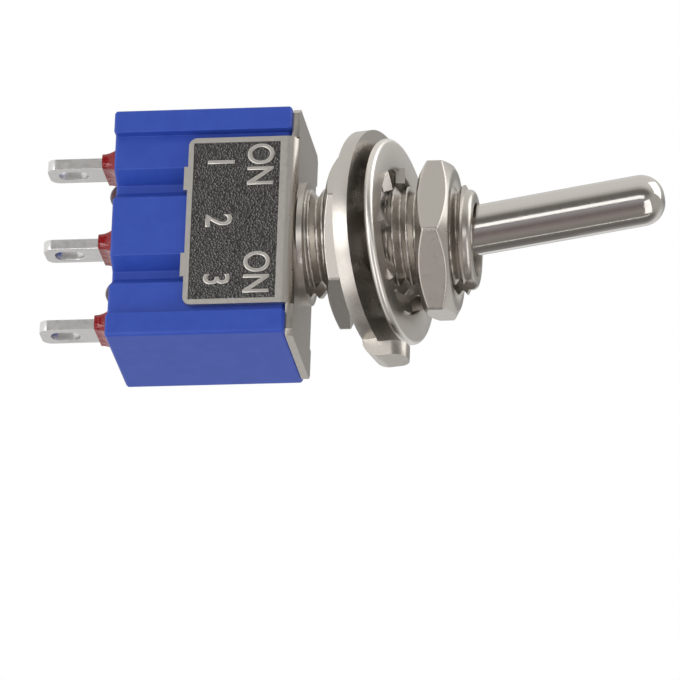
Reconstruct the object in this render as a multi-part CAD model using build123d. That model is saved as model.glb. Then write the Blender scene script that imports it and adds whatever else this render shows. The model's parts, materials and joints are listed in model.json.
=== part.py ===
from build123d import *
import os
from math import cos, radians, sin, sqrt, tan

# Miniature toggle switch, single pole and double throw (ON-ON), for a panel hole.
# Millimetres. The origin is the centre of the mounting plate's outer face, the bushing
# and the lever point to +Z, the terminals to -Z, and the lever throws along X.

# ---- Case: moulded box, open at the top under the mounting plate ----
case_length = 13.1
case_width = 7.2
case_height = 9.6
corner_radius = 0.2
edge_chamfer = 0.12
pillar_width = 1.32         # full-width pillar at each end of the broad sides
recess_depth = 0.55         # the broad side between the pillars lies this much lower
groove_spacing = 5.0        # between the two upright grooves of a broad side
groove_mouth = 1.64
groove_floor = 0.46
groove_depth = 0.9
cavity_length = 11.0
cavity_width = 3.6
cavity_radius = 0.3
floor_thickness = 1.6

# ---- Frame: stamped plate with a tab folded down over each broad side ----
sheet = 0.4
plate_length = 13.1
plate_width = 6.5
plate_corner = 0.3
tab_side_gap = 0.405        # between the tab and the pillar beside it
tab_length = 5.9            # from the plate's outer face to the tab's free edge
tab_corner = 0.45
tab_clearance = 0.02
bend_radius = 0.62          # outside of the fold
lug_width = 1.35            # crimp lug at the tab's free edge, let into a groove
lug_reach = 0.5
lug_drop = 0.2

# ---- Bushing: threaded at its crest diameter, with a smooth ring at the end ----
thread_diameter = 5.86
bushing_length = 9.25
thread_end = 8.7
ring_diameter = 5.36
ring_radius = 0.3
collar_diameter = 6.6
collar_height = 0.3
neck_diameter = 6.0
flange_length = 7.0
flange_width = 4.0
flange_thickness = 0.6
keyway_width = 1.25
keyway_depth = 0.55

# ---- Lever: bat, pivot ball and hollow lower arm ----
pivot_height = 6.0
throw_angle = 19.0
ball_diameter = 4.1
ball_clearance = 0.05
seat_grip = 0.6             # height of the seat's upper rim, as a share of its radius
bat_length = 13.43          # from the ball's centre to the tip
bat_root_diameter = 2.66
bat_diameter = 2.74
grip_length = 3.4           # straight stretch that takes a lever cap
tip_radius = 1.25
arm_diameter = 2.0
swing_clearance = 0.08
spring_bore = 1.24
spring_bore_depth = 3.4

# ---- Plunger and its spring, inside the lower arm ----
plunger_clearance = 0.05
plunger_travel = 0.3
plunger_reach = 2.2         # from the arm's end to the plunger's tip
plunger_stem_length = 1.7   # from the head's shoulder into the arm
tip_diameter = 1.6
wire_diameter = 0.2
coil_diameter = 0.9
coil_turns = 5

# ---- Rocker: sprung see-saw strip with a contact at each end ----
strip_thickness = 0.5
strip_width = 1.8
rocker_throw = 12.2
rocker_length = 9.8
cradle_length = 4.4
cradle_rise = 0.08          # lowest point of the cradle above the trunnions' axis
arm_flat_start = 3.1
trunnion_diameter = 0.8
trunnion_span = 2.9
tip_gap = 0.05
contact_spread = 8.2
contact_diameter = 1.6
contact_height = 0.4
contact_gap = 0.02
contact_rounding = 0.133
fixed_contact_rounding = 0.1
fixed_contact_diameter = 1.8
rivet_diameter = 0.7
rivet_head_diameter = 1.05
rivet_head_height = 0.13

# ---- Terminals: blades with a wire hole, one foot or saddle each ----
terminal_pitch = 4.7
blade_thickness = 0.6
blade_width = 1.8
root_width = 2.4
root_length = 0.6           # wider shoulder below the case
terminal_reach = 4.1        # from the case's bottom to the tip
blade_corner = 0.5
eye_width = 1.05
eye_length = 1.6
eye_from_tip = 1.35
slot_clearance = 0.03
foot_thickness = 0.6
foot_length = 2.0
foot_width = 2.4
saddle_length = 1.8
saddle_width = 2.8
cheek_thickness = 0.35
cheek_rise = 0.4
notch_clearance = 0.05

# ---- Epoxy: a bead round each terminal and two drops between them ----
pocket_length = 1.75
pocket_width = 3.0
pocket_depth = 0.5
bead_height = 1.0
bead_wall = 0.12
bead_corner = 0.25
bead_profile = ((0.0, 1.0), (0.3, 0.42), (1.0, 0.0))    # share of the height, of the spread
drop_places = (-3.05, 2.6)   # along the row of terminals
drop_diameter = 1.4
drop_height = 0.7
drop_hole_diameter = 0.8

# ---- Mounting hardware ----
nut_across_flats = 8.0
nut_face_diameter = 7.5
nut_chamfer_angle = 30.0
front_nut_thickness = 1.76
front_nut_height = 6.42
front_nut_angle = 16.8
back_nut_thickness = 1.08
back_nut_height = 1.52
back_nut_angle = 48.5
thread_clearance = 0.05
bore_chamfer = 0.25
locating_diameter = 12.0
locating_thickness = 0.8
locating_height = 3.95      # middle of the washer
locating_tilt = 12.0
washer_bore = 6.3
key_width = 0.85
key_clearance = 0.12
tongue_width = 1.7
tongue_reach = 0.95         # outer face of the tongue beyond the washer's rim
tongue_height = 2.3
tongue_inner_bend = 0.2
tongue_corner = 0.7
lock_diameter = 11.1
lock_thickness = 0.5
lock_height = 5.1           # middle of the washer
lock_tilt = 10.5
lock_lean = 2.0
lock_ring_width = 1.7
tooth_count = 8
tooth_width = 1.25
tooth_twist = 22.0

# ---- Building allowance: how far a joined piece reaches into what carries it ----
merge_overlap = 0.1

# ---- Worked out from the sizes above ----
case_top = -sheet
case_bottom = case_top - case_height
floor_top = case_bottom + floor_thickness
recess_length = case_length - 2 * pillar_width
tab_width = recess_length - 2 * tab_side_gap
fold_relief = bend_radius - sheet + tab_clearance
recess_face = case_width / 2 - recess_depth
tab_inner_face = recess_face + tab_clearance
tab_outer_face = tab_inner_face + sheet
flange_bottom = case_top - flange_thickness
half_throw = throw_angle / 2
rocker_tilt = rocker_throw / 2
thread_radius = thread_diameter / 2
nut_bore = thread_diameter + 2 * thread_clearance
foot_top = floor_top + foot_thickness
contact_top = foot_top + contact_height
contact_reach = contact_spread / 2
contact_underside = strip_thickness / 2 + contact_height
contact_edge = contact_reach + contact_diameter / 2 - contact_rounding
rocker_height = (
    contact_top + contact_gap
    + contact_edge * sin(radians(rocker_tilt))
    + contact_underside * cos(radians(rocker_tilt))
)
tip_distance = pivot_height - rocker_height - tip_gap - cradle_rise
arm_length = tip_distance - plunger_reach
terminal_tip = case_bottom - terminal_reach


def slab(length, width, bottom, top, x=0.0, y=0.0):
    """An upright block, centred on x and y, from one height to another."""
    return Pos(x, y, (bottom + top) / 2) * Box(length, width, top - bottom)


def rod(diameter, bottom, top, x=0.0, y=0.0):
    """An upright cylinder from one height to another."""
    return Pos(x, y, (bottom + top) / 2) * Cylinder(diameter / 2, top - bottom)


def upright(solid):
    """Place a solid drawn about the ball's centre on the upright lever's axis."""
    return Pos(0, 0, pivot_height) * solid


def thrown(solid):
    """Place a solid drawn about the ball's centre on the lever's axis, thrown to -X."""
    return Pos(0, 0, pivot_height) * Rot(0, -half_throw, 0) * solid


def groove_section(mouth, floor, depth):
    """A trapezium, open side on the X axis, depth towards -Y."""
    corners = [(-mouth / 2, 0), (mouth / 2, 0), (floor / 2, -depth), (-floor / 2, -depth)]
    return Polygon(*corners, align=None)


def make_case():
    """The moulded case with its pillars, recessed sides, grooves, cavity and slots."""
    outline = Rectangle(case_length, case_width)
    outline = fillet(outline.vertices(), corner_radius)
    for turn in (0, 180):
        side = Rot(0, 0, turn)
        outline -= side * Pos(0, case_width / 2) * Rectangle(recess_length, 2 * recess_depth)
        for x in (-groove_spacing / 2, groove_spacing / 2):
            groove = groove_section(groove_mouth, groove_floor, groove_depth)
            outline -= side * Pos(x, recess_face) * groove
    case = Pos(0, 0, case_bottom) * extrude(outline, case_height)
    rims = case.edges().group_by(Axis.Z)
    case = chamfer(rims[-1] + rims[0], edge_chamfer)
    relief = Polygon((0, 0), (-fold_relief, 0), (0, -fold_relief), align=None)
    relief = Plane.YZ * Pos(recess_face, case_top) * relief
    relief = extrude(relief, recess_length / 2, both=True)
    case -= relief
    case -= Rot(0, 0, 180) * relief
    cavity = slab(cavity_length, cavity_width, floor_top, case_top)
    case -= fillet(cavity.edges().filter_by(Axis.Z), cavity_radius)
    case -= slab(
        flange_length + 2 * slot_clearance,
        flange_width + 2 * slot_clearance,
        flange_bottom,
        case_top,
    )
    for x in (-terminal_pitch, 0, terminal_pitch):
        case -= slab(
            blade_thickness + 2 * slot_clearance,
            root_width + 2 * slot_clearance,
            case_bottom,
            floor_top,
            x,
        )
        case -= slab(pocket_length, pocket_width, case_bottom, case_bottom + pocket_depth, x)
    for x in drop_places:
        case -= rod(drop_hole_diameter, case_bottom, case_bottom + pocket_depth, x)
    return case


def make_frame():
    """The plate and its two folded tabs, one sheet, with the hole for the bushing."""
    plate = Rectangle(plate_length, plate_width)
    plate = chamfer(plate.vertices(), plate_corner)
    flat_width = 2 * (tab_outer_face - bend_radius)
    plate -= Rectangle(tab_width, 2 * plate_width) - Rectangle(tab_width, flat_width)
    frame = Pos(0, 0, -sheet) * extrude(plate, sheet)
    fold = Rectangle(2 * tab_outer_face, 2 * tab_length)
    fold = fillet(fold.vertices(), bend_radius)
    inner = Rectangle(2 * tab_inner_face, 2 * (tab_length - sheet))
    inner = fillet(inner.vertices(), bend_radius - sheet)
    fold -= inner
    fold &= Pos(0, tab_length / 2) * Rectangle(4 * tab_outer_face, tab_length)
    saddle = extrude(Plane.YZ * fold, tab_width / 2, both=True)
    saddle = Pos(0, 0, -tab_length) * saddle
    free_corners = saddle.edges().filter_by(Axis.Y).group_by(Axis.Z)[0]
    frame += fillet(free_corners, tab_corner)
    for turn in (0, 180):
        for x in (-groove_spacing / 2, groove_spacing / 2):
            frame += Rot(0, 0, turn) * Pos(x, 0, -tab_length) * make_lug()
    frame -= rod(neck_diameter, -sheet, 0)
    return frame


def make_lug():
    """A crimp lug on the tab's free edge, its inner end let into the case's groove."""
    slope = (groove_mouth - groove_floor) / groove_depth
    inner_width = lug_width - slope * lug_reach
    depth = tab_outer_face - recess_face
    stem = Pos(0, recess_face + depth / 2) * Rectangle(lug_width, depth)
    wedge = Pos(0, recess_face) * groove_section(lug_width, inner_width, lug_reach)
    return Pos(0, 0, -lug_drop) * extrude(stem + wedge, sheet, dir=(0, 0, 1))


def make_bushing():
    """The bushing: flange, neck, collar, thread, end ring, ball socket and keyway."""
    bushing = slab(flange_length, flange_width, flange_bottom, case_top)
    bushing += rod(neck_diameter, case_top, 0)
    bushing += rod(collar_diameter, 0, collar_height)
    bushing += rod(thread_diameter, 0, thread_end)
    ring = rod(ring_diameter, thread_end, bushing_length)
    bushing += fillet(ring.edges().group_by(Axis.Z)[-1], ring_radius)
    bushing -= make_socket()
    key_floor = thread_radius - keyway_depth
    bushing -= slab(
        keyway_depth * 2,
        keyway_width,
        collar_height,
        bushing_length,
        key_floor + keyway_depth,
    )
    return bushing


def make_socket():
    """The hollow of the bushing: a bore, the ball's seat and a throat for the bat."""
    lean = tan(radians(half_throw))
    skew = cos(radians(half_throw))
    seat = ball_diameter / 2 + ball_clearance
    rise = bushing_length - pivot_height
    mouth = bat_root_diameter / 2 / skew + rise * lean + swing_clearance
    seat_rise = seat * seat_grip
    throat = sqrt(seat**2 - seat_rise**2)
    drop = pivot_height - flange_bottom
    foot = arm_diameter / 2 / skew + drop * lean + swing_clearance
    socket = rod(2 * seat, flange_bottom, pivot_height)
    socket += upright(Sphere(seat))
    cone_height = rise - seat_rise
    cone = Cone(throat, mouth, cone_height)
    socket += upright(Pos(0, 0, seat_rise + cone_height / 2) * cone)
    flare_height = min(drop, (foot - seat + swing_clearance) / lean)
    flare = Cone(foot, seat, flare_height)
    socket += Pos(0, 0, flange_bottom + flare_height / 2) * flare
    return socket


def make_lever():
    """The lever about its ball's centre: bat above, hollow arm below."""
    grip_start = bat_length - tip_radius - grip_length
    bat = Pos(0, 0, grip_start / 2) * Cone(bat_root_diameter / 2, bat_diameter / 2, grip_start)
    grip = rod(bat_diameter, grip_start, bat_length)
    grip = fillet(grip.edges().group_by(Axis.Z)[-1], tip_radius)
    lever = Sphere(ball_diameter / 2) + bat + grip
    lever += rod(arm_diameter, -arm_length, 0)
    lever -= rod(spring_bore, -arm_length, -arm_length + spring_bore_depth)
    return thrown(lever)


def make_plunger():
    """The plunger about the ball's centre: stem in the arm, head with a round tip."""
    shoulder = -(arm_length + plunger_travel)
    radius = tip_diameter / 2
    stem = rod(spring_bore - 2 * plunger_clearance, shoulder, shoulder + plunger_stem_length)
    head = rod(tip_diameter, -tip_distance + radius, shoulder)
    return thrown(stem + head + Pos(0, 0, -tip_distance + radius) * Sphere(radius))


def make_spring():
    """The coil spring between the plunger's stem and the end of the arm's bore."""
    start = -(arm_length + plunger_travel) + plunger_stem_length + wire_diameter / 2
    end = -arm_length + spring_bore_depth - wire_diameter / 2
    path = Helix((end - start) / coil_turns, end - start, coil_diameter / 2)
    section = Plane(path @ 0, z_dir=path % 0) * Circle(wire_diameter / 2)
    coil = sweep(section, path=path, is_frenet=True)
    return thrown(Pos(0, 0, start) * coil)


def make_rocker():
    """The see-saw strip about its own axis, tilted to the side that the plunger holds."""
    lean = radians(half_throw)
    tilt = radians(rocker_tilt)
    centre = tip_distance - tip_diameter / 2
    side = centre * sin(lean)
    height = pivot_height - centre * cos(lean) - rocker_height
    path_x = side * cos(tilt) - height * sin(tilt)
    path_z = side * sin(tilt) + height * cos(tilt)
    path_rise = path_z - (pivot_height - centre - rocker_height)
    path_radius = (path_x**2 + path_rise**2) / (2 * path_rise)
    cradle_radius = path_radius + tip_diameter / 2 + tip_gap
    crest_x = cradle_length / 2
    crest = cradle_rise + cradle_radius - sqrt(cradle_radius**2 - crest_x**2)
    end_x = rocker_length / 2
    flat = strip_thickness / 2
    upper = [
        Line((-end_x, flat), (-arm_flat_start, flat)),
        Line((-arm_flat_start, flat), (-crest_x, crest)),
        ThreePointArc((-crest_x, crest), (0, cradle_rise), (crest_x, crest)),
        Line((crest_x, crest), (arm_flat_start, flat)),
        Line((arm_flat_start, flat), (end_x, flat)),
    ]
    lower = [Pos(0, -strip_thickness) * curve for curve in upper]
    ends = [
        Line((-end_x, flat), (-end_x, flat - strip_thickness)),
        Line((end_x, flat), (end_x, flat - strip_thickness)),
    ]
    outline = make_face(Curve() + upper + lower + ends)
    strip = extrude(Plane.XZ * outline, strip_width / 2, both=True)
    for y in (-1, 1):
        length = (trunnion_span - strip_width) / 2 + merge_overlap
        stub = Rot(90, 0, 0) * Cylinder(trunnion_diameter / 2, length)
        strip += Pos(0, y * (trunnion_span - length) / 2, 0) * stub
    for x in (-contact_reach, contact_reach):
        strip -= rod(rivet_diameter, -strip_thickness, strip_thickness, x)
    return seated_on_saddle(strip)


def seated_on_saddle(solid):
    """Put something drawn about the rocker's axis in place, +X side down."""
    return Pos(0, 0, rocker_height) * Rot(0, rocker_tilt, 0) * solid


def make_moving_contact(side):
    """A rivet contact under one end of the rocker."""
    x = side * contact_reach
    half = strip_thickness / 2
    head = rod(contact_diameter, -half - contact_height, -half, x)
    head = fillet(head.edges().group_by(Axis.Z)[0], contact_rounding)
    contact = head + rod(rivet_diameter, -half, half, x)
    contact += rod(rivet_head_diameter, half, half + rivet_head_height, x)
    return seated_on_saddle(contact)


def make_fixed_contact(side):
    """A rivet contact on an outer terminal's foot."""
    x = side * contact_reach
    head = rod(fixed_contact_diameter, foot_top, contact_top, x)
    head = fillet(head.edges().group_by(Axis.Z)[-1], fixed_contact_rounding)
    return head + rod(rivet_diameter, floor_top, foot_top, x)


def make_blade(x):
    """The blade of a terminal, from its tip to the top of the case's floor."""
    middle = (terminal_tip + case_bottom - root_length) / 2
    height = case_bottom - root_length - terminal_tip
    blade = Pos(0, middle) * Rectangle(blade_width, height)
    blade = fillet(blade.vertices().group_by(Axis.Y)[0], blade_corner)
    eye = SlotOverall(eye_length, eye_width, rotation=90)
    blade -= Pos(0, terminal_tip + eye_from_tip) * eye
    root = floor_top - case_bottom + root_length
    blade += Pos(0, floor_top - root / 2) * Rectangle(root_width, root)
    return Pos(x, 0, 0) * extrude(Plane.YZ * blade, blade_thickness / 2, both=True)


def make_outer_terminal(side):
    """An outer terminal: blade and a foot turned inwards on the case's floor."""
    x = side * terminal_pitch
    outer_end = terminal_pitch + blade_thickness / 2
    foot_x = side * (outer_end - foot_length / 2)
    foot = slab(foot_length, foot_width, floor_top, foot_top, foot_x)
    terminal = make_blade(x) + foot
    terminal -= rod(rivet_diameter, floor_top, foot_top, side * contact_reach)
    return terminal


def make_centre_terminal():
    """The common terminal: blade, base and two notched cheeks that carry the rocker."""
    terminal = make_blade(0) + slab(saddle_length, saddle_width, floor_top, foot_top)
    top = rocker_height + cheek_rise
    for y in (-1, 1):
        offset = y * (saddle_width - cheek_thickness) / 2
        terminal += slab(saddle_length, cheek_thickness, floor_top, top, 0, offset)
    notch = trunnion_diameter + 2 * notch_clearance
    bearing = Rot(90, 0, 0) * Cylinder(notch / 2, saddle_width)
    terminal -= Pos(0, 0, rocker_height) * bearing
    terminal -= slab(notch, saddle_width, rocker_height, top)
    return terminal


def make_seal(x):
    """An epoxy bead: it fills the pocket and climbs the terminal to a thin edge."""
    inner_length = blade_thickness + 2 * bead_wall
    inner_width = root_width + 2 * bead_wall
    sections = []
    for height, spread in bead_profile:
        length = inner_length + (pocket_length - inner_length) * spread
        width = inner_width + (pocket_width - inner_width) * spread
        plane = Plane((x, 0, case_bottom - height * bead_height))
        sections.append(plane * RectangleRounded(length, width, bead_corner))
    bead = loft(sections)
    bead += slab(pocket_length, pocket_width, case_bottom, case_bottom + pocket_depth, x)
    return bead - make_blade(x)


def make_drop(x):
    """A domed drop of epoxy under the case, with the plug that fills its hole."""
    dome_radius = (drop_height**2 + (drop_diameter / 2) ** 2) / (2 * drop_height)
    dome = Pos(x, 0, case_bottom - drop_height + dome_radius) * Sphere(dome_radius)
    reach = 4 * dome_radius
    dome &= slab(reach, reach, case_bottom - reach, case_bottom, x)
    return dome + rod(drop_hole_diameter, case_bottom, case_bottom + pocket_depth, x)


def make_hex_nut(thickness, height, angle):
    """A hexagon nut chamfered on both faces, on its place along the bushing."""
    face = nut_face_diameter / 2
    corner = nut_across_flats / sqrt(3) + merge_overlap
    drop = (corner - face) * tan(radians(nut_chamfer_angle))
    half = thickness / 2
    barrel = Polygon(
        (0, -half), (face, -half), (corner, -half + drop),
        (corner, half - drop), (face, half), (0, half),
        align=None,
    )
    barrel = revolve(Plane.XZ * barrel, Axis.Z)
    hexagon = RegularPolygon(nut_across_flats / 2, 6, major_radius=False)
    nut = extrude(hexagon, half, both=True) & barrel
    nut -= Cylinder(nut_bore / 2, thickness)
    rims = nut.edges().filter_by(GeomType.CIRCLE).filter_by(
        lambda edge: abs(edge.radius - nut_bore / 2) < 0.01
    )
    nut = chamfer(rims, bore_chamfer)
    return Pos(0, 0, height + half) * Rot(0, 0, angle) * nut


def make_locating_washer():
    """The keyed washer with its bent tongue, hanging tilted on the bushing."""
    washer = rod(locating_diameter, 0, locating_thickness)
    washer -= rod(washer_bore, 0, locating_thickness)
    key_tip = thread_radius - keyway_depth + key_clearance
    key_length = washer_bore / 2 - key_tip + merge_overlap
    key_x = key_tip + key_length / 2
    washer += slab(key_length, key_width, 0, locating_thickness, key_x)
    washer = Pos(0, 0, -locating_thickness / 2) * (washer + make_tongue())
    return Pos(0, 0, locating_height) * Rot(locating_tilt, 0, 0) * washer


def make_tongue():
    """The tongue at the washer's +X rim, bent up to point along the bushing."""
    outer = locating_diameter / 2 + tongue_reach
    start = locating_diameter / 2 - tongue_reach
    bent = Pos(outer, 0) * Rectangle(outer - start, tongue_height, align=(Align.MAX, Align.MIN))
    outer_corner = bent.vertices().group_by(Axis.X)[-1].sort_by(Axis.Y)[0]
    bent = fillet(outer_corner, tongue_inner_bend + locating_thickness)
    hollow = Rectangle(outer, tongue_height, align=(Align.MAX, Align.MIN))
    hollow = Pos(outer - locating_thickness, locating_thickness) * hollow
    inner_corner = hollow.vertices().group_by(Axis.X)[-1].sort_by(Axis.Y)[0]
    hollow = fillet(inner_corner, tongue_inner_bend)
    tongue = extrude(Plane.XZ * (bent - hollow), tongue_width / 2, both=True)
    corners = tongue.edges().filter_by(Axis.X).group_by(Axis.Z)[-1]
    return fillet(corners, tongue_corner)


def make_lock_washer():
    """The internal-tooth lock washer, its teeth twisted out of the ring's plane."""
    outer = lock_diameter / 2
    inner = outer - lock_ring_width
    tip = washer_bore / 2
    ring = Cylinder(outer, lock_thickness) - Cylinder(inner, lock_thickness)
    length = inner + merge_overlap - tip
    for number in range(tooth_count):
        tooth = Rot(tooth_twist, 0, 0) * Box(length, tooth_width, lock_thickness)
        tooth = Pos(tip + length / 2, 0, 0) * tooth
        ring += Rot(0, 0, number * 360 / tooth_count) * tooth
    return Pos(0, 0, lock_height) * Rot(lock_tilt, -lock_lean, 0) * ring


os.makedirs("parts", exist_ok=True)
parts = {
    "case": make_case(),
    "frame": make_frame(),
    "bushing": make_bushing(),
    "lever": make_lever(),
    "plunger": make_plunger(),
    "plunger_spring": make_spring(),
    "rocker": make_rocker(),
    "moving_contact_1": make_moving_contact(-1),
    "moving_contact_3": make_moving_contact(1),
    "fixed_contact_1": make_fixed_contact(-1),
    "fixed_contact_3": make_fixed_contact(1),
    "terminal_1": make_outer_terminal(-1),
    "terminal_2": make_centre_terminal(),
    "terminal_3": make_outer_terminal(1),
    "seal_1": make_seal(-terminal_pitch),
    "seal_2": make_seal(0),
    "seal_3": make_seal(terminal_pitch),
    "seal_drop_1": make_drop(drop_places[0]),
    "seal_drop_2": make_drop(drop_places[1]),
    "back_nut": make_hex_nut(back_nut_thickness, back_nut_height, back_nut_angle - 90),
    "front_nut": make_hex_nut(front_nut_thickness, front_nut_height, front_nut_angle - 90),
    "locating_washer": make_locating_washer(),
    "lock_washer": make_lock_washer(),
}
for name, solid in parts.items():
    export_step(solid, f"parts/{name}.step")
print(f"{len(parts)} nodes")
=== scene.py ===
# %% [markdown]
# # A miniature toggle switch
# A bat lever rocks in a threaded bushing. The bushing stands on a folded metal frame over
# a blue moulded case, and three silver-plated terminals leave the case through beads of
# red epoxy. Two nuts and two washers wait on the thread for a panel.
#
# The pieces come from a CAD model that already has the right shapes, places and joints.
# This script only gives them their looks: finishes, rounded edges, the screw thread, the
# stamped lettering, light and a camera. The CAD model is the frame: nothing in it moves.

# %% Load the frame
import bmesh
import bpy
import json
import math
from mathutils import Matrix, Vector


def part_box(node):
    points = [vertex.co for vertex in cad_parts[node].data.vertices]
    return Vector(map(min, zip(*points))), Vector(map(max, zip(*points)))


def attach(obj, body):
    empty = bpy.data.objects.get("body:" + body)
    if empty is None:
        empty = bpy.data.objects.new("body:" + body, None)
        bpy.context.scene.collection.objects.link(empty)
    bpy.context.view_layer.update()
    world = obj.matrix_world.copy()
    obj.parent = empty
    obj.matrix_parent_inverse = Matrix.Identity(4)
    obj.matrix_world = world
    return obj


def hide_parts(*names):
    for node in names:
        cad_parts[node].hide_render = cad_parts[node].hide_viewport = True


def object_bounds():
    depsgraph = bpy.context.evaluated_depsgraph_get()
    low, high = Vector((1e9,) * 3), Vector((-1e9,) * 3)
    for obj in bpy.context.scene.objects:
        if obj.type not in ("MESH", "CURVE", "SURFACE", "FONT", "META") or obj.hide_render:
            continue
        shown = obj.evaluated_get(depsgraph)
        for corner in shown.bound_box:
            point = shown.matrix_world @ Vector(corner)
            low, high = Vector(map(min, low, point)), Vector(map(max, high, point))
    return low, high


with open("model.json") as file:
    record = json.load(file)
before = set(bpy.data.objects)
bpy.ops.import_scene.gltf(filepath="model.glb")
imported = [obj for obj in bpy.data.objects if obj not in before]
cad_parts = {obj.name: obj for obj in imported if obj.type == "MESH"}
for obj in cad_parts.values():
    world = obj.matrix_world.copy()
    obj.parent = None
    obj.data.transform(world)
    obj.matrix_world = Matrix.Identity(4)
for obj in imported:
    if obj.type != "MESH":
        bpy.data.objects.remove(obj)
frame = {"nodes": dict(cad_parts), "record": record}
nodes = frame["nodes"]
cad_box = [list(corner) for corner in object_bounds()]
MM = 0.001
print(f"{len(nodes)} CAD nodes, {(cad_box[1][2] - cad_box[0][2]) / MM:.1f} mm tall")

# %% [markdown]
# ## Two helpers for node trees
# Colours are written as the hex values that a paint program shows. A shader works with
# linear light, so one function turns them. Materials and Geometry Nodes are both trees of
# nodes, and one function adds a node, sets its properties and fills or links its sockets.

# %% Colours and nodes
def linear(hex_code):
    """An sRGB hex colour as the linear red, green, blue and alpha that a socket takes."""
    channels = [int(hex_code[i:i + 2], 16) / 255 for i in (1, 3, 5)]
    bent = [c / 12.92 if c <= 0.04045 else ((c + 0.055) / 1.055) ** 2.4 for c in channels]
    return (*bent, 1.0)


def add(tree, kind, inputs=None, **properties):
    """Add a node. An input is a value, or the socket that feeds it."""
    node = tree.nodes.new(kind)
    for name, value in properties.items():
        setattr(node, name, value)
    for socket, value in (inputs or {}).items():
        if isinstance(value, bpy.types.NodeSocket):
            tree.links.new(value, node.inputs[socket])
        else:
            node.inputs[socket].default_value = value
    return node


print("linear('#808080') is", round(linear("#808080")[0], 3))


# %% [markdown]
# ## Finishes
# Every material starts as one Principled shader. Patterns read Object coordinates, which
# on these pieces are the same as the frame's, so a noise of scale 1 / size has grains of
# that size in metres.

# %% A material with its shader
def new_finish(name, **sockets):
    """A material with one Principled shader, and the tree to add patterns to."""
    material = bpy.data.materials.new(name)
    material.use_nodes = True
    tree = material.node_tree
    shader = tree.nodes["Principled BSDF"]
    for socket, value in sockets.items():
        shader.inputs[socket.replace("_", " ")].default_value = value
    return material, tree, shader


def grain(tree, size, detail=2.0, stretch=(1, 1, 1)):
    """Noise with grains of a real size, longer along an axis where stretch is smaller."""
    place = add(tree, "ShaderNodeTexCoord").outputs["Object"]
    stretched = add(tree, "ShaderNodeMapping", {"Vector": place, "Scale": stretch})
    noise = add(
        tree, "ShaderNodeTexNoise",
        {"Vector": stretched.outputs[0], "Scale": 1 / size, "Detail": detail},
    )
    return noise.outputs[0]


def dent(tree, shader, height, depth):
    """Let a pattern lift and lower the surface by a real depth."""
    bump = add(tree, "ShaderNodeBump", {"Height": height, "Distance": depth, "Strength": 1.0})
    tree.links.new(bump.outputs[0], shader.inputs["Normal"])


def spread(tree, noise, low, high):
    """Stretch a noise, which mostly stays between 0.3 and 0.7, over a range of values."""
    node = add(tree, "ShaderNodeMapRange", {0: noise, 1: 0.3, 2: 0.7, 3: low, 4: high})
    return node.outputs[0]


print("helpers for finishes are ready")

# %% [markdown]
# ### Nickel plating
# The nuts, washers and bushing are brass or steel, tumbled and then plated with nickel.
# Nickel is a warm grey metal. Tumbling leaves a fine satin that blurs reflections, and
# plating pools a little, so the roughness drifts over a few tenths of a millimetre.

# %% Satin nickel
def satin_nickel(name="satin nickel plating", colour="#bab5ae", roughness=0.29):
    """Nickel plate on tumbled metal: warm grey with soft reflections."""
    material, tree, shader = new_finish(
        name, Base_Color=linear(colour), Metallic=1.0, Roughness=roughness,
    )
    cloud = grain(tree, 0.25 * MM)
    rough = spread(tree, cloud, roughness - 0.02, roughness + 0.04)
    tree.links.new(rough, shader.inputs["Roughness"])
    dent(tree, shader, grain(tree, 0.07 * MM, stretch=(1, 1, 0.35)), 0.0006 * MM)
    return material


nickel = satin_nickel()
print(nickel.name)

# %% [markdown]
# ### Bright nickel
# The lever is polished before it is plated, because a finger slides on it. It reflects
# almost like a mirror, with faint turning marks round its axis.

# %% Bright nickel
def bright_nickel():
    """Polished nickel plate with faint waves from turning and polishing."""
    material, tree, shader = new_finish(
        "bright nickel plating", Base_Color=linear("#c5c1bc"), Metallic=1.0, Roughness=0.1,
    )
    cloud = grain(tree, 0.35 * MM, detail=3.0)
    tree.links.new(spread(tree, cloud, 0.07, 0.17), shader.inputs["Roughness"])
    dent(tree, shader, grain(tree, 0.14 * MM, stretch=(0.4, 0.4, 1)), 0.0022 * MM)
    return material


polished = bright_nickel()
print(polished.name)

# %% [markdown]
# ### The coined field in painted shade, and lighter copies in painted light
# The lettered side of the frame is struck with a rough die before it is folded. The
# field between the letters is a bed of tiny pits, which the plating leaves shiny, and
# their bump gives bright specks. Its colour is a dark copy of the nickel: painted shade.
# The rim and the letters are struck smooth, and they and the thin spring steel of the lock
# washer take lighter copies of the nickel colour, painted light, and a duller finish than
# turned brass.

# %% Coined nickel in painted shade
def coined_nickel_in_painted_shade():
    """Plated steel struck with a rough die: shiny pits a tenth of a millimetre wide, dark in
    painted shade.
    """
    # The dark base colour is painted shade in the pits.
    material, tree, shader = new_finish(
        "coined nickel plating in painted shade", Base_Color=linear("#585756"), Metallic=1.0, Roughness=0.22,
    )
    place = add(tree, "ShaderNodeTexCoord").outputs["Object"]
    pits = add(tree, "ShaderNodeTexVoronoi", {"Vector": place, "Scale": 1 / (0.11 * MM)})
    dent(tree, shader, pits.outputs["Distance"], 0.026 * MM)
    return material


coined_in_painted_shade = coined_nickel_in_painted_shade()
# A lighter copy of the nickel colour: painted light on the tab, its rim and the letters.
struck_in_painted_light = satin_nickel("struck nickel plating in painted light", colour="#cbc7c1", roughness=0.36)
# A lighter copy of the nickel colour: painted light on the lock washer.
spring_plate_in_painted_light = satin_nickel("nickel plated spring steel in painted light", colour="#d8d4ce", roughness=0.33)
print(", ".join(material.name for material in (coined_in_painted_shade, struck_in_painted_light, spring_plate_in_painted_light)))

# %% [markdown]
# ### Moulded case
# The case is a thermosetting resin, chosen because a soldering iron doesn't melt it. It
# is pressed in a steel mould, which gives a smooth surface with a soft sheen, and its
# filler shows as slight mottling.

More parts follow.
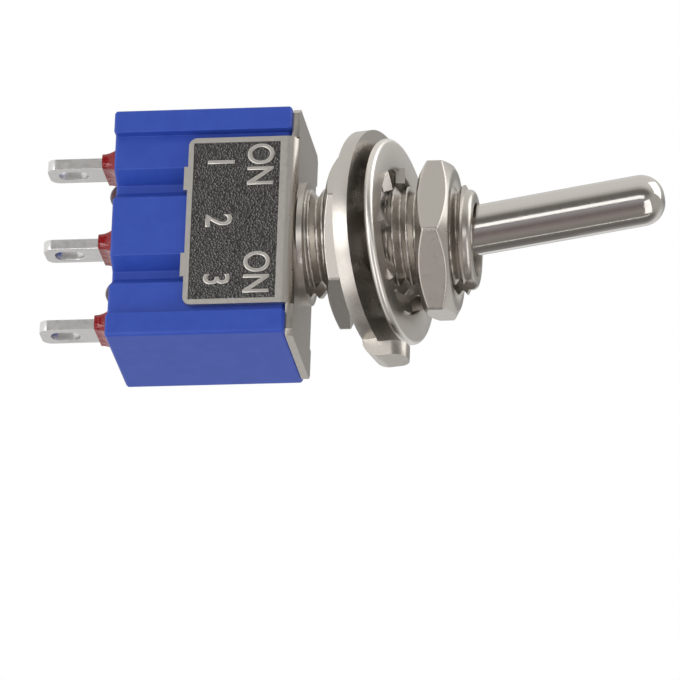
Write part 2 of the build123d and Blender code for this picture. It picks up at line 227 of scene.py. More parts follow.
# %% Blue resin
def blue_resin():
    """Filled thermosetting resin: blue, softly shiny, slightly mottled."""
    material, tree, shader = new_finish(
        "blue moulded resin", Base_Color=linear("#2b47a2"), Roughness=0.45, IOR=1.52,
        Specular_IOR_Level=0.3,
    )
    mottle = grain(tree, 0.9 * MM, detail=4.0)
    shades = add(tree, "ShaderNodeMix", {
        "Factor": spread(tree, mottle, 0.0, 1.0), "A": linear("#28449f"),
        "B": linear("#2e4aa6"),
    }, data_type="RGBA")
    tree.links.new(shades.outputs["Result"], shader.inputs["Base Color"])
    dent(tree, shader, grain(tree, 0.16 * MM), 0.004 * MM)
    return material


resin = blue_resin()
print(resin.name)

# %% [markdown]
# ### Terminals, epoxy and the parts inside
# The terminals are brass with a dull coat of silver, which takes solder well. The epoxy
# is poured and sets with a glossy skin, and the drops deep in the case take a nearly black
# colour, which is painted shade. Inside, the rocker is silver-plated bronze, its contacts
# are a silver alloy, the plunger is slippery acetal, and the spring is bright steel wire.

# %% The other finishes
def silvered_brass():
    """Dull silver plating: nearly white metal, softly rough."""
    material, tree, shader = new_finish(
        "silver plated brass", Base_Color=linear("#d9d8d6"), Metallic=1.0, Roughness=0.3,
    )
    tree.links.new(spread(tree, grain(tree, 0.3 * MM), 0.28, 0.36), shader.inputs["Roughness"])
    dent(tree, shader, grain(tree, 0.15 * MM), 0.0015 * MM)
    return material


def red_epoxy(name="red epoxy resin", colour="#8c070f"):
    """Poured epoxy: dark red with a glossy skin. Given a darker colour, it shows painted
    shade.
    """
    material, tree, shader = new_finish(
        name, Base_Color=linear(colour), Roughness=0.07, IOR=1.55,
    )
    dent(tree, shader, grain(tree, 0.45 * MM), 0.05 * MM)
    return material


silver = silvered_brass()
epoxy = red_epoxy()
# The drops deep in the case take a nearly black red: painted shade.
epoxy_in_painted_shade = red_epoxy("red epoxy resin in painted shade", "#3d0a1c")
bronze = new_finish(
    "silver plated bronze", Base_Color=linear("#c6c1b6"), Metallic=1.0, Roughness=0.3,
)[0]
contact_silver = new_finish(
    "silver contact alloy", Base_Color=linear("#d2d1cd"), Metallic=1.0, Roughness=0.25,
)[0]
steel_wire = new_finish(
    "spring steel wire", Base_Color=linear("#a5a5a6"), Metallic=1.0, Roughness=0.25,
)[0]
acetal = new_finish("acetal resin", Base_Color=linear("#e6e5df"), Roughness=0.4, IOR=1.48)[0]
print(len(bpy.data.materials), "materials")

# %% [markdown]
# ## Dress the CAD nodes
# Each node of the frame gets its finish here, and numbered pieces share one. Some nodes
# are replaced further down by a finer piece, and then the finish only shows on the node.

# %% Assign the finishes
finishes = {
    "case": resin, "frame": nickel, "bushing": nickel, "lever": polished,
    "plunger": acetal, "plunger_spring": steel_wire, "rocker": bronze,
    "moving_contact": contact_silver, "fixed_contact": contact_silver,
    "terminal": silver, "seal": epoxy, "seal_drop": epoxy_in_painted_shade,
    "back_nut": nickel, "front_nut": nickel, "locating_washer": nickel,
    "lock_washer": spring_plate_in_painted_light,
}
for name, node in nodes.items():
    node.data.materials.clear()
    node.data.materials.append(finishes[name.rstrip("_123")])
print("dressed", len(nodes), "nodes")


# %% [markdown]
# ## Helpers for pieces
# A real edge is never perfectly sharp, and the thin line of light along it is what makes
# metal look solid. So the stamped and moulded pieces are copied from the frame, their
# triangles are joined into flat faces, and a Bevel modifier rounds the edges. The copy
# takes the place of its node. A modifier is never left on a piece: its result becomes the
# piece's plain mesh, so what is shown is what is there.

# %% Copy, round and place
bodies = {
    node: body
    for body, members in frame["record"]["behaviour"]["bodies"].items() for node in members
}
same_point = 0.0004 * MM             # points of a CAD mesh closer than this are one
same_face = math.radians(0.6)        # triangles that turn by less than this are one face
on_the_cut = 0.002 * MM              # corners this near a cut lie on it
level_normal = 0.999                 # the least Z of a level face's normal


def new_piece(name, mesh, materials):
    """A mesh object with its materials."""
    piece = bpy.data.objects.new(name, mesh)
    bpy.context.scene.collection.objects.link(piece)
    mesh.materials.clear()
    for material in materials:
        mesh.materials.append(material)
    return piece


def settled_mesh(thing):
    """The shape that an object shows, with its modifiers, as a plain mesh."""
    bpy.context.view_layer.update()
    graph = bpy.context.evaluated_depsgraph_get()
    return bpy.data.meshes.new_from_object(thing.evaluated_get(graph), depsgraph=graph)


def settle(piece):
    """Turn the result of a piece's modifiers into its plain mesh."""
    mesh = settled_mesh(piece)
    piece.modifiers.clear()
    piece.data = mesh


def stand_for(piece, node):
    """The piece moves with its CAD node's body and is shown instead of the node."""
    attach(piece, bodies[node])
    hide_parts(node)
    print(piece.name, "replaces", node, "with", len(piece.data.polygons), "faces")


def flat_copy(node, name):
    """A copy of a CAD node with its triangles merged into flat faces.

    A cut along the middle of the level faces leaves none with a hole, which fills wrongly."""
    mesh = nodes[node].data.copy()
    work = bmesh.new()
    work.from_mesh(mesh)
    bmesh.ops.remove_doubles(work, verts=work.verts, dist=same_point)
    bmesh.ops.dissolve_limit(
        work, angle_limit=same_face, verts=work.verts, edges=work.edges,
    )
    level = [face for face in work.faces if abs(face.normal.z) > level_normal]
    rims = {edge for face in level for edge in face.edges}
    corners = {vert for face in level for vert in face.verts}
    bmesh.ops.bisect_plane(
        work, geom=level + list(rims) + list(corners), dist=on_the_cut,
        plane_co=(0, 0, 0), plane_no=(0, 1, 0),
    )
    work.to_mesh(mesh)
    work.free()
    if "custom_normal" in mesh.attributes:
        mesh.attributes.remove(mesh.attributes["custom_normal"])
    mesh.shade_smooth()
    return new_piece(name, mesh, [nodes[node].data.materials[0]])


def round_edges(piece, width, angle=28.0, segments=3):
    """Round every edge that turns by more than an angle."""
    bevel = piece.modifiers.new("rounded edges", "BEVEL")
    bevel.width = width
    bevel.segments = segments
    bevel.limit_method = "ANGLE"
    bevel.angle_limit = math.radians(angle)
    bevel.miter_outer = "MITER_ARC"
    weighted = piece.modifiers.new("even shading", "WEIGHTED_NORMAL")
    weighted.keep_sharp = True
    settle(piece)


print("bodies:", sorted(set(bodies.values())))

# %% [markdown]
# ## Case, terminals and epoxy
# These keep their CAD shapes. The case gets the small radii that a mould has, the
# terminals the rolled edges of a stamping, and the epoxy is left as it was poured.

# %% Moulded and stamped pieces
case_rounding = 0.05 * MM
terminal_rounding = 0.1 * MM

for node in ("case", "terminal_1", "terminal_2", "terminal_3"):
    piece = flat_copy(node, f"{node}_rounded")
    round_edges(piece, case_rounding if node == "case" else terminal_rounding)
    stand_for(piece, node)

# %% [markdown]
# ## Turned blanks
# Nuts, washers and the bushing start as turned blanks: an outline of radius and height
# swept round the axis. What makes each of them more than a ring is then a rule laid on
# the blank, as a die cuts a thread on a rod or a press shapes a hexagon.

# %% A lathe
def turned_blank(outline, columns):
    """A closed mesh from an outline of (radius, height) points, swept round Z.

    Points that meet, such as those on the axis, are joined."""
    joined = 0.0005 * MM
    mesh = bpy.data.meshes.new("blank")
    corners, faces = [], []
    for i in range(columns):
        angle = 2 * math.pi * i / columns
        corners += [(r * math.cos(angle), r * math.sin(angle), z) for r, z in outline]
    rows = len(outline)
    for i in range(columns):
        for j in range(rows):
            a, b = i * rows, ((i + 1) % columns) * rows
            k = (j + 1) % rows
            faces.append((a + j, b + j, b + k, a + k))
    mesh.from_pydata(corners, [], faces)
    work = bmesh.new()
    work.from_mesh(mesh)
    bmesh.ops.remove_doubles(work, verts=work.verts, dist=joined)
    bmesh.ops.dissolve_degenerate(work, edges=work.edges, dist=joined)
    bmesh.ops.recalc_face_normals(work, faces=work.faces)
    work.to_mesh(mesh)
    work.free()
    mesh.shade_smooth()
    return mesh


def steps(start, end, count):
    """Evenly spaced points from start to end, both included."""
    return [
        tuple(a + (b - a) * i / count for a, b in zip(start, end)) for i in range(count + 1)
    ]


def corner_arc(centre, radius, start, end, count):
    """Points on an arc of an outline, angles in degrees."""
    x, y = centre
    angles = [math.radians(start + (end - start) * i / count) for i in range(count + 1)]
    return [(x + radius * math.cos(angle), y + radius * math.sin(angle)) for angle in angles]


print("a quarter of a circle in 6 steps:", len(corner_arc((0, 0), MM, 0, 90, 6)), "points")


# %% [markdown]
# ### Inputs of a Geometry Nodes tree
# A modifier's inputs are set by the identifier of each socket. One helper makes the tree
# with its named inputs, and one lays it on a piece and keeps the plain result. The nuts
# and the thread both move points nearer to the axis, so they share the two steps for it.

# %% Trees with named inputs
def new_rule(name, inputs):
    """A Geometry Nodes tree with a Geometry input and output and the named inputs."""
    tree = bpy.data.node_groups.new(name, "GeometryNodeTree")
    tree.interface.new_socket("Geometry", in_out="INPUT", socket_type="NodeSocketGeometry")
    for label, kind in inputs.items():
        tree.interface.new_socket(label, in_out="INPUT", socket_type=f"NodeSocket{kind}")
    tree.interface.new_socket("Geometry", in_out="OUTPUT", socket_type="NodeSocketGeometry")
    return tree, add(tree, "NodeGroupInput").outputs


def close_rule(tree, geometry, material):
    """End a tree in Realize Instances and Set Material."""
    real = add(tree, "GeometryNodeRealizeInstances", {0: geometry})
    dressed = add(tree, "GeometryNodeSetMaterial", {0: real.outputs[0], "Material": material})
    add(tree, "NodeGroupOutput", {0: dressed.outputs[0]})


def lay_rule(piece, tree, values):
    """Lay a tree on a piece with its input values, and keep the plain result."""
    modifier = piece.modifiers.new(tree.name, "NODES")
    modifier.node_group = tree
    for item in tree.interface.items_tree:
        if item.item_type == "SOCKET" and item.in_out == "INPUT" and item.name in values:
            modifier[item.identifier] = values[item.name]
    settle(piece)


def calculate(tree, operation, *values):
    """One step of arithmetic."""
    node = add(tree, "ShaderNodeMath", dict(enumerate(values)), operation=operation)
    return node.outputs[0]


def locate(tree):
    """A point's x, y and z, and its distance from the axis."""
    point = add(tree, "GeometryNodeInputPosition").outputs[0]
    x, y, z = add(tree, "ShaderNodeSeparateXYZ", {0: point}).outputs
    squares = [calculate(tree, "MULTIPLY", side, side) for side in (x, y)]
    return x, y, z, calculate(tree, "SQRT", calculate(tree, "ADD", *squares))


def scale_radius(tree, geometry, x, y, z, scale):
    """The geometry with every point's distance from the axis scaled."""
    moved = add(tree, "ShaderNodeCombineXYZ", {
        0: calculate(tree, "MULTIPLY", x, scale), 1: calculate(tree, "MULTIPLY", y, scale),
        2: z,
    })
    shaped = add(tree, "GeometryNodeSetPosition", {0: geometry, "Position": moved.outputs[0]})
    return shaped.outputs[0]


print("Geometry Nodes helpers are ready")


# %% [markdown]
# ## Hexagon nuts
# A nut is a turned blank with a cone on both faces, pressed into a hexagon. The rule is
# one line of arithmetic: the distance from the axis to a flat is half the width across
# flats, divided by the cosine of the angle to the flat's middle. Where that is less than
# the blank's radius, the flat wins. A smooth minimum does this choice, so the edges
# between flats and cones come out softly rounded, as tumbling leaves them. The thin back
# nut has shallower cones than the front one.

# %% The hexagon rule
def hexagon_rule():
    """Pull a blank's outer wall in to six flats."""
    tree, given = new_rule("six flats", {
        "Across flats": "Float", "Edge softness": "Float", "Turn": "Float",
        "Material": "Material",
    })
    x, y, z, radius = locate(tree)
    angle = calculate(tree, "SUBTRACT", calculate(tree, "ARCTAN2", y, x), given["Turn"])
    sixth = math.pi / 3
    from_flat = calculate(tree, "WRAP", angle, sixth / 2, -sixth / 2)
    half = calculate(tree, "MULTIPLY", given["Across flats"], 0.5)
    flat = calculate(tree, "DIVIDE", half, calculate(tree, "COSINE", from_flat))
    chosen = calculate(tree, "SMOOTH_MIN", radius, flat, given["Edge softness"])
    scale = calculate(tree, "DIVIDE", chosen, radius)
    shaped = scale_radius(tree, given["Geometry"], x, y, z, scale)
    close_rule(tree, shaped, given["Material"])
    return tree


six_flats = hexagon_rule()
print(six_flats.name, "has", len(six_flats.nodes), "nodes")

# %% The two nuts
across_flats = 8.0 * MM
nut_edge_softness = 0.05 * MM
nut_face_radius = 3.75 * MM
nut_face_band = 0.3 * MM             # the outer part of a face, cut finer than the rest
nut_bore_radius = 2.98 * MM
nut_bore_chamfer = 0.25 * MM
nut_cone = math.tan(math.radians(30))
blank_allowance = 0.1 * MM           # the blank's wall stands this far past the corners
nuts = {
    "front_nut": {"turn": math.radians(15.8), "lower cone": 1.0, "upper cone": 1.0},
    "back_nut": {"turn": math.radians(48.5), "lower cone": 0.6, "upper cone": 0.4},
}


def nut_outline(low, high, lower_cone, upper_cone):
    """The section of a nut's blank: bore, faces, and a cone to a wall on both sides."""
    wall = across_flats / math.sqrt(3) + blank_allowance
    drop = (wall - nut_face_radius) * nut_cone
    rise, fall = drop * lower_cone, drop * upper_cone
    face, band = nut_face_radius, nut_face_radius - nut_face_band
    bore, chamfer = nut_bore_radius, nut_bore_chamfer
    bottom = [(bore + chamfer, low)] + steps((band, low), (face, low), 3)
    lower = steps((face, low), (wall, low + rise), 12)[1:]
    side = steps((wall, low + rise), (wall, high - fall), 8)[1:]
    upper = steps((wall, high - fall), (face, high), 12)[1:]
    top = steps((face, high), (band, high), 3)[1:] + [(bore + chamfer, high)]
    inside = [(bore, high - chamfer), (bore, low + chamfer)]
    return bottom + lower + side + upper + top + inside


for node, cut in nuts.items():
    low, high = (corner.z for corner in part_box(node))
    outline = nut_outline(low, high, cut["lower cone"], cut["upper cone"])
    nut = new_piece(f"{node}_pressed", turned_blank(outline, columns=360), [])
    lay_rule(nut, six_flats, {
        "Across flats": across_flats, "Edge softness": nut_edge_softness,
        "Turn": cut["turn"], "Material": nickel,
    })
    nut.data.set_sharp_from_angle(angle=math.radians(50))
    stand_for(nut, node)

# %% [markdown]
# ## The bushing's screw thread
# A die cuts the thread as one helical groove. Seen along any line parallel to the axis,
# it is a row of V shapes one pitch apart, and it climbs by one pitch in a turn. So the
# rule takes a point's height, subtracts the share of a pitch that its angle stands for,
# and uses the remainder as the place across the V, where 0 is the crest and 1 the root.
# Both keep a narrow flat. The groove fades in above the collar, and out under the smooth
# ring at the bushing's end.

# %% The thread rule
thread_flat = 0.12                   # the flat's share of the way from crest to root
wall_share = 0.995                   # what lies past this share of the crest radius is cut


def thread_rule():
    """Cut a helical V groove into the outer wall of a turned blank."""
    tree, given = new_rule("screw thread", {
        "Crest radius": "Float", "Depth": "Float", "Pitch": "Float", "Start": "Float",
        "End": "Float", "Run-out": "Float", "Material": "Material",
    })
    x, y, z, radius = locate(tree)
    turns = calculate(tree, "DIVIDE", calculate(tree, "ARCTAN2", y, x), 2 * math.pi)
    rise = calculate(tree, "SUBTRACT", calculate(tree, "DIVIDE", z, given["Pitch"]), turns)
    across = calculate(tree, "PINGPONG", calculate(tree, "MULTIPLY", rise, 2.0), 1.0)
    groove = add(tree, "ShaderNodeMapRange", {
        0: across, 1: thread_flat, 2: 1 - thread_flat,
    }).outputs[0]
    begun = add(tree, "ShaderNodeMapRange", {
        0: z, 1: given["Start"], 2: calculate(tree, "ADD", given["Start"], given["Run-out"]),
    }).outputs[0]
    ended = add(tree, "ShaderNodeMapRange", {
        0: z, 1: given["End"], 2: calculate(tree, "SUBTRACT", given["End"], given["Run-out"]),
    }).outputs[0]
    share = calculate(tree, "MULTIPLY", calculate(tree, "MINIMUM", begun, ended), groove)
    limit = calculate(tree, "MULTIPLY", given["Crest radius"], wall_share)
    wall = calculate(tree, "GREATER_THAN", radius, limit)
    on_wall = calculate(tree, "MULTIPLY", share, wall)
    depth = calculate(tree, "MULTIPLY", on_wall, given["Depth"])
    scale = calculate(tree, "SUBTRACT", 1.0, calculate(tree, "DIVIDE", depth, radius))
    shaped = scale_radius(tree, given["Geometry"], x, y, z, scale)
    close_rule(tree, shaped, given["Material"])
    return tree


screw_thread = thread_rule()
print(screw_thread.name, "has", len(screw_thread.nodes), "nodes")

# %% The bushing
crest_radius = 2.93 * MM
thread_depth = 0.4 * MM
thread_pitch = 0.75 * MM
thread_end = 8.7 * MM
thread_run_out = 0.25 * MM
collar_radius, collar_height = 3.3 * MM, 0.3 * MM
neck_radius = 3.0 * MM
ring_radius = 2.68 * MM
ring_rounding = 0.3 * MM
ring_step = 0.12 * MM                # the slope from the thread to the ring
plate_bottom = -0.4 * MM
flange_length, flange_width = 7.0 * MM, 4.0 * MM
keyway_depth, keyway_width = 0.55 * MM, 1.25 * MM
pivot_height = 6.0 * MM
seat_radius = 2.1 * MM
throat_angle = math.degrees(math.asin(0.6))      # how far the seat closes over the ball
mouth_radius = 1.99 * MM
bore_radius = 2.27 * MM              # the wide end of the bore, below the flange
taper_height = pivot_height - 5.5 * MM           # there the bore is as narrow as the seat
overlap = 0.02 * MM                  # joined shapes share this much
clear_out = 0.2 * MM                 # a cut goes this far past the end that it opens


def bushing_outline():
    """The outside of the bushing as a solid of revolution, down to its axis."""
    low, high = plate_bottom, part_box("bushing")[1].z
    foot = [
        (0, low), (neck_radius, low), (neck_radius, 0), (collar_radius, 0),
        (collar_radius, collar_height),
    ]
    thread = steps((crest_radius, collar_height), (crest_radius, thread_end), 270)
    centre = (ring_radius - ring_rounding, high - ring_rounding)
    ring = corner_arc(centre, ring_rounding, 0, 90, 8)
    return foot + thread + [(ring_radius, thread_end + ring_step)] + ring + [(0, high)]


def socket_outline():
    """The hollow of the bushing: bore, ball seat and the mouth for the lever."""
    low, high = (corner.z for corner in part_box("bushing"))
    below, beyond = low - MM, high + MM
    seat = corner_arc((0, pivot_height), seat_radius, 0, throat_angle, 10)
    foot = [(0, below), (bore_radius, below), (seat_radius, taper_height)]
    return foot + seat + [(mouth_radius, high), (mouth_radius, beyond), (0, beyond)]


def slab(size, centre):
    """A block as a mesh."""
    mesh = bpy.data.meshes.new("block")
    work = bmesh.new()
    shape = Matrix.Translation(centre) @ Matrix.Diagonal((*size, 1))
    bmesh.ops.create_cube(work, size=1.0, matrix=shape)
    work.to_mesh(mesh)
    work.free()
    return mesh


def machine(piece, mesh, operation):
    """Cut a shape out of a piece, or join it on."""
    tool = new_piece("tool", mesh, [])
    modifier = piece.modifiers.new(operation, "BOOLEAN")
    modifier.operation = operation
    modifier.solver = "EXACT"
    modifier.object = tool
    settle(piece)
    bpy.data.objects.remove(tool)


bushing = new_piece("bushing_threaded", turned_blank(bushing_outline(), columns=160), [])
lay_rule(bushing, screw_thread, {
    "Crest radius": crest_radius, "Depth": thread_depth, "Pitch": thread_pitch,
    "Start": collar_height, "End": thread_end, "Run-out": thread_run_out,
    "Material": nickel,
})
bottom, top = (corner.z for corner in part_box("bushing"))
thickness = plate_bottom - bottom + overlap
flange_size = (flange_length, flange_width, thickness)
key_height = top - collar_height + clear_out
key_size = (2 * keyway_depth, keyway_width, key_height)
key_centre = Vector((crest_radius, 0, collar_height + key_height / 2))
machine(bushing, slab(flange_size, Vector((0, 0, bottom + thickness / 2))), "UNION")
machine(bushing, slab(key_size, key_centre), "DIFFERENCE")
machine(bushing, turned_blank(socket_outline(), columns=96), "DIFFERENCE")
bushing.data.shade_smooth()
bushing.data.set_sharp_from_angle(angle=math.radians(40))
bushing.data.materials.clear()
bushing.data.materials.append(nickel)
stand_for(bushing, "bushing")

# %% [markdown]
# ## Washers
# The locating washer is a stamping with a key that slides in the bushing's keyway and a
# tongue bent up at its rim. Its CAD shape only needs the rolled edges of the press. The
# lock washer is a ring with teeth twisted out of its plane, so it is made from a ring
# and one tooth, which Geometry Nodes set round it.

# %% The locating washer
washer_rounding = 0.28 * MM

washer = flat_copy("locating_washer", "locating_washer_stamped")
round_edges(washer, washer_rounding, angle=35.0, segments=5)
stand_for(washer, "locating_washer")


# %% The teeth rule
def teeth_rule():
    """Set twisted teeth round a ring, all pointing to its axis."""
    tree, given = new_rule("twisted teeth", {
        "Count": "Int", "Tip radius": "Float", "Size": "Vector", "Twist": "Float",
        "Material": "Material",
    })
    block = add(tree, "GeometryNodeMeshCube", {
        "Size": given["Size"], "Vertices X": 5, "Vertices Y": 5, "Vertices Z": 3,
    })
    length = add(tree, "ShaderNodeSeparateXYZ", {0: given["Size"]}).outputs[0]
    half = calculate(tree, "MULTIPLY", length, 0.5)
    middle = calculate(tree, "ADD", given["Tip radius"], half)
    out = add(tree, "ShaderNodeCombineXYZ", {0: middle})
    twist = add(tree, "ShaderNodeCombineXYZ", {0: given["Twist"]})
    tooth = add(tree, "GeometryNodeTransform", {
        0: block.outputs[0], "Translation": out.outputs[0], "Rotation": twist.outputs[0],
    })
    spots = add(tree, "GeometryNodePoints", {"Count": given["Count"]})
    number = add(tree, "GeometryNodeInputIndex").outputs[0]
    step = calculate(tree, "DIVIDE", 2 * math.pi, given["Count"])
    angle = add(tree, "ShaderNodeCombineXYZ", {2: calculate(tree, "MULTIPLY", number, step)})
    teeth = add(tree, "GeometryNodeInstanceOnPoints", {
        0: spots.outputs[0], "Instance": tooth.outputs[0], "Rotation": angle.outputs[0],
    })
    both = add(tree, "GeometryNodeJoinGeometry", {0: given["Geometry"]})
    tree.links.new(teeth.outputs[0], both.inputs[0])
    close_rule(tree, both.outputs[0], given["Material"])
    return tree


twisted_teeth = teeth_rule()
print(twisted_teeth.name, "has", len(twisted_teeth.nodes), "nodes")

# %% The lock washer
lock_radius = 5.55 * MM
lock_inner = 3.85 * MM
lock_thickness = 0.5 * MM
lock_rounding = 0.24 * MM
lock_height = 5.1 * MM
lock_tilt = math.radians(10.5)
lock_lean = math.radians(2.0)
tooth_count = 8
tooth_tip = 3.15 * MM
tooth_size = (0.9 * MM, 1.25 * MM, 0.5 * MM)
tooth_twist = math.radians(22)


def rounded_ring(inner, outer, thickness, rounding):
    """The section of a flat ring with rolled edges."""
    near, far, level = inner + rounding, outer - rounding, thickness / 2 - rounding
    centres = ((far, level), (near, level), (near, -level), (far, -level))
    outline = []
    for i, centre in enumerate(centres):
        outline += corner_arc(centre, rounding, 90 * i, 90 * (i + 1), 5)
    return outline


section = rounded_ring(lock_inner, lock_radius, lock_thickness, lock_rounding)
lock = new_piece("lock_washer_stamped", turned_blank(section, columns=128), [])
# The lock washer's lighter nickel colour is painted light.
lay_rule(lock, twisted_teeth, {
    "Count": tooth_count, "Tip radius": tooth_tip, "Size": tooth_size,
    "Twist": tooth_twist, "Material": spring_plate_in_painted_light,
})
hang = Matrix.Translation((0, 0, lock_height)) @ Matrix.Rotation(lock_tilt, 4, "X")
lock.data.transform(hang @ Matrix.Rotation(-lock_lean, 4, "Y"))
lock.data.shade_smooth()
lock.data.set_sharp_from_angle(angle=math.radians(40))
stand_for(lock, "lock_washer")

# %% [markdown]
# ## The frame and its lettering
# The frame is one sheet, blanked, coined and folded. The die sinks the lettered field by
# a few hundredths of a millimetre and leaves a narrow rim round it, and the letters
# stand up from the field about as high as the rim. The edges are rounded after that, and
# then each face gets its plating by where it lies on the sheet: the sunk field a dark
# colour, which is painted shade, and the rest of the tab with the rim a lighter colour,
# which is painted light.

# %% The frame
tab_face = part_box("frame")[0].y
field_depth = 0.07 * MM
field_side, field_low, field_high = 4.53 * MM, -5.62 * MM, -0.95 * MM
sheet_rounding = 0.15 * MM
tab_top = -0.35 * MM                 # below this height the sheet is a folded tab
tolerance = 0.01 * MM                # how far a face of the field may lie from its floor

plated_frame = flat_copy("frame", "frame_folded")
field_size = (2 * field_side, 2 * field_depth, field_high - field_low)
field_centre = Vector((0, tab_face, (field_high + field_low) / 2))
machine(plated_frame, slab(field_size, field_centre), "DIFFERENCE")
round_edges(plated_frame, sheet_rounding, segments=4)
# The sunk field takes the dark colour, painted shade; the rest of the tab takes the lighter
# one, painted light.
plated_frame.data.materials.append(coined_in_painted_shade)
plated_frame.data.materials.append(struck_in_painted_light)
for face in plated_frame.data.polygons:
    sunk = abs(face.center.y - tab_face - field_depth) < tolerance
    faces_out = face.normal.y < -0.9
    if sunk and faces_out:
        face.material_index = 1
    elif face.center.z < tab_top:
        face.material_index = 2
stand_for(plated_frame, "frame")


# %% [markdown]
# ### Letters and numbers
# Both ends of the throw are marked ON. Under them the terminals are numbered. The text is
# a font curve, given a little depth and a rounded edge, then made a mesh before it is
# put in its place. The curve is drawn at a size of 1 unit and scaled afterwards, so its
# strokes are given in units.

# %% The lettering
letter_height = 1.45 * MM
letter_width = 0.8                   # condensed by this factor
letter_depth = 1.5 * field_depth     # from its back, inside the sheet, to its front
letter_centre = 0.7 * field_depth    # the middle of that depth, below the tab's face
stroke_offset = -0.012               # thins the strokes
stroke_extrude = 0.01
stroke_bevel = 0.03


def stamped_text(name, words, x, z):
    """Raised letters on the lettered tab, reading along +X, standing along +Z."""
    curve = bpy.data.curves.new(name, "FONT")
    curve.body = words
    curve.align_x = "CENTER"
    curve.size = 1.0
    curve.offset = stroke_offset
    curve.extrude = stroke_extrude
    curve.bevel_depth = stroke_bevel
    curve.bevel_resolution = 3
    text = bpy.data.objects.new(name, curve)
    bpy.context.scene.collection.objects.link(text)
    mesh = settled_mesh(text)
    bpy.data.objects.remove(text)
    heights = [vert.co.y for vert in mesh.vertices]
    low, high = min(heights), max(heights)
    size = letter_height / (high - low)
    depth = letter_depth / (2 * (stroke_extrude + stroke_bevel))
    scale = Matrix.Diagonal((size * letter_width, size, depth, 1))
    mesh.transform(scale @ Matrix.Translation((0, -low, 0)))
    upright = Matrix.Rotation(math.pi / 2, 4, "X")
    mesh.transform(Matrix.Translation((x, tab_face + letter_centre, z)) @ upright)
    mesh.shade_smooth()
    mesh.set_sharp_from_angle(angle=math.radians(40))
    # The letters take the lighter nickel colour, painted light.
    piece = new_piece(name, mesh, [struck_in_painted_light])
    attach(piece, "body")


upper_row, lower_row = -2.72 * MM, -4.85 * MM
stamped_text("mark_on_1", "ON", -3.2 * MM, upper_row)
stamped_text("mark_on_2", "ON", 3.05 * MM, upper_row)
for number, x in (("1", -3.4 * MM), ("2", 0.0), ("3", 3.4 * MM)):
    stamped_text(f"mark_{number}_1", number, x, lower_row)
print("letters stand", round(letter_height / MM, 2), "mm tall")

# %% [markdown]
# ## Floor, light and camera
# The switch hangs high above a plain pale floor, so that its shadow is soft and faint.
# Polished metal shows whatever surrounds it, so the room matters as much as the lamps. It
# is a light tent: white above and behind, grey where its open side and the camera are.
# The long strip in front draws the bright line along the lever, the box by its tip the
# highlight there, the low boxes light the edges of the nuts and washers, and the overhead
# box lights the colours. The camera looks from a little above the row of terminals,
# through a long lens, so nothing is stretched.

# %% The floor
floor_side = 1.2
floor_thickness = 1.0 * MM
floor_glow = 0.96                    # how much of the floor's look is its own glow


def pale_floor(drop):
    """A wide floor below the switch. It looks white and keeps a soft shadow."""
    middle = cad_box[0][2] - drop - floor_thickness / 2
    mesh = slab((floor_side, floor_side, floor_thickness), Vector((0, 0, middle)))
    material, tree, shader = new_finish(
        "pale studio floor", Base_Color=(0.9, 0.9, 0.9, 1), Roughness=0.9,
    )
    rays = add(tree, "ShaderNodeLightPath").outputs
    either = calculate(tree, "MAXIMUM", rays["Is Camera Ray"], rays["Is Glossy Ray"])
    seen = calculate(tree, "MULTIPLY", either, floor_glow)
    glow = add(tree, "ShaderNodeEmission", {"Color": (1, 1, 1, 1), "Strength": 1.0})
    mix = add(tree, "ShaderNodeMixShader", {0: seen, 1: shader.outputs[0], 2: glow.outputs[0]})
    tree.links.new(mix.outputs[0], tree.nodes["Material Output"].inputs[0])
    floor = new_piece("floor", mesh, [material])
    return floor


floor = pale_floor(drop=250 * MM)
print("floor at", round(floor.data.vertices[0].co.z / MM, 1), "mm")

# %% The camera
lean = math.radians(23.3)            # turned this far round the bushing, towards +X
climb = math.radians(8.33)
roll = math.radians(1.48)
distance = 430 * MM
aim_right, aim_up = 1.86 * MM, -5.1 * MM         # from the origin to the view's middle
towards = Vector((
    math.sin(lean) * math.cos(climb), -math.cos(lean) * math.cos(climb), math.sin(climb),
))
axis = Vector((0, 0, 1))
level = (axis - axis.dot(towards) * towards).normalized()
upward = towards.cross(level)
right = math.cos(roll) * level - math.sin(roll) * upward
up = math.sin(roll) * level + math.cos(roll) * upward
camera_data = bpy.data.cameras.new("camera")
camera_data.lens = 426.45
camera_data.sensor_width = 36.0
camera_data.clip_start = 0.01
camera = bpy.data.objects.new("camera", camera_data)
bpy.context.scene.collection.objects.link(camera)
turn = Matrix((right, up, towards)).transposed().to_4x4()
place = right * aim_right + up * aim_up + towards * distance
camera.matrix_world = Matrix.Translation(place) @ turn
bpy.context.scene.camera = camera
print("camera at", [round(c / MM, 1) for c in camera.location])

# %% The room
# Each pair is an angle round the switch's long axis, 0 at the camera, and the wall there.
walls = (
    (-180, "#9f9d9c"), (-150, "#ffffff"), (-132, "#e7e6e5"), (-115, "#959494"),
    (-100, "#7a7775"), (-62, "#9d9895"), (-47, "#a69f9d"), (-23, "#857a7c"),
    (-12, "#9a9494"), (0, "#b2afb4"), (12, "#a6a4a4"), (34, "#7c7b79"), (48, "#837f7c"),
    (60, "#cdcbc8"), (74, "#f2f1ee"), (100, "#fbfaf8"), (155, "#f3f2f0"), (180, "#9f9d9c"),
)
ceiling_colour = "#c8c6c3"
ceiling_start, ceiling_full = 0.55, 0.95         # sines of the heights where it blends in
diffuse_light = 0.62


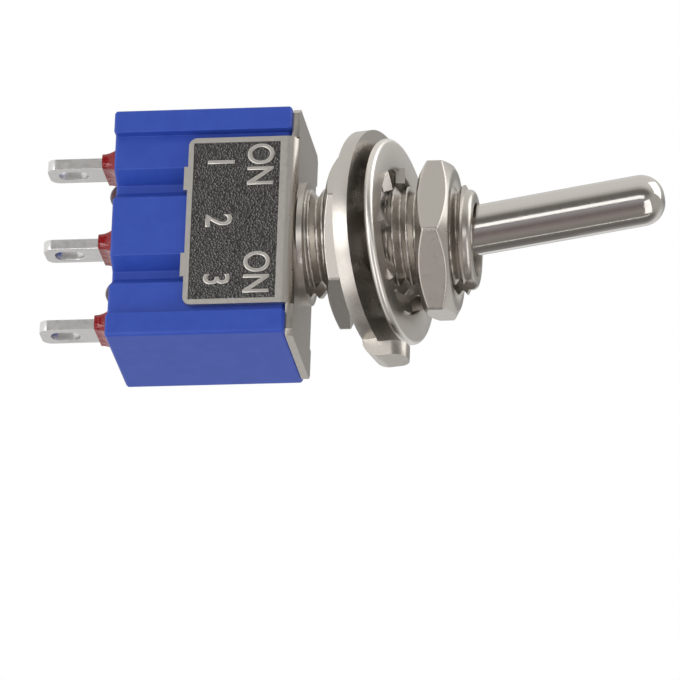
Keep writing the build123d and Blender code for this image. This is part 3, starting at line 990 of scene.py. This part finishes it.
def room():
    """White to the camera; to metal, walls that change round the switch's long axis."""
    world = bpy.data.worlds.new("room")
    world.use_nodes = True
    bpy.context.scene.world = world
    tree = world.node_tree
    tree.nodes.clear()
    way = add(tree, "ShaderNodeTexCoord").outputs["Generated"]
    front = (math.sin(lean), -math.cos(lean), 0)
    above = (-math.cos(lean), -math.sin(lean), 0)
    ahead = add(tree, "ShaderNodeVectorMath", {0: way, 1: front}, operation="DOT_PRODUCT")
    across = add(tree, "ShaderNodeVectorMath", {0: way, 1: above}, operation="DOT_PRODUCT")
    angle = calculate(tree, "ARCTAN2", across.outputs["Value"], ahead.outputs["Value"])
    place = calculate(tree, "MULTIPLY_ADD", angle, 0.5 / math.pi, 0.5)
    shade = add(tree, "ShaderNodeValToRGB", {0: place})
    ramp = shade.color_ramp
    while len(ramp.elements) < len(walls):
        ramp.elements.new(0.5)
    for element, (degrees, colour) in zip(ramp.elements, walls):
        element.position = degrees / 360 + 0.5
        element.color = linear(colour)
    height = add(tree, "ShaderNodeSeparateXYZ", {0: way}).outputs[2]
    ceiling = add(tree, "ShaderNodeMapRange", {
        0: calculate(tree, "ABSOLUTE", height), 1: ceiling_start, 2: ceiling_full,
    }, interpolation_type="SMOOTHSTEP").outputs[0]
    inside = add(tree, "ShaderNodeMix", {
        "Factor": ceiling, "A": shade.outputs[0], "B": linear(ceiling_colour),
    }, data_type="RGBA")
    rays = add(tree, "ShaderNodeLightPath").outputs
    plain = add(tree, "ShaderNodeMix", {
        "Factor": rays["Is Glossy Ray"], "A": (*[diffuse_light] * 3, 1),
        "B": inside.outputs["Result"],
    }, data_type="RGBA")
    seen = add(tree, "ShaderNodeMix", {
        "Factor": rays["Is Camera Ray"], "A": plain.outputs["Result"], "B": (1, 1, 1, 1),
    }, data_type="RGBA")
    background = add(tree, "ShaderNodeBackground", {0: seen.outputs["Result"], 1: 1.0})
    add(tree, "ShaderNodeOutputWorld", {0: background.outputs[0]})


room()


def soft_box(name, direction, distance, width, length, brightness):
    """A rectangular lamp that faces the switch, its length along the bushing.

    Its power follows from how bright its face should look, where 1 is white paper."""
    data = bpy.data.lights.new(name, "AREA")
    data.shape = "RECTANGLE"
    data.size = width
    data.size_y = length
    data.energy = brightness * math.pi * width * length
    lamp = bpy.data.objects.new(name, data)
    bpy.context.scene.collection.objects.link(lamp)
    back = Vector(direction).normalized()
    side = axis.cross(back).normalized()
    facing = Matrix((side, back.cross(side), back)).transposed().to_4x4()
    lamp.matrix_world = Matrix.Translation(back * distance) @ facing


# Name, direction, then distance, width and length in metres, and brightness.
lamps = (
    ("long strip in front", (0.125, -0.985, -0.065), 0.5, 0.12, 0.5, 1.5),
    ("low soft box in front", (0.1, -0.82, -0.52), 0.4, 0.3, 0.16, 2.4),
    ("low soft box at the side", (0.75, -0.5, -0.45), 0.4, 0.26, 0.16, 1.1),
    ("soft box by the lever's tip", (0.66, -0.42, 0.62), 0.45, 0.5, 0.26, 1.5),
    ("thin strip at the side", (0.96, 0.21, 0.16), 0.5, 0.025, 0.5, 1.2),
    ("small strip by the lower edges", (0.80, -0.57, -0.17), 0.5, 0.06, 0.12, 2.4),
    ("overhead soft box", (-0.75, 0.1, 0.9), 0.5, 0.4, 0.4, 1.8),
)
for lamp in lamps:
    soft_box(*lamp)
print(len(lamps), "lamps")

# %% Finish
bpy.context.scene.view_settings.view_transform = "Standard"
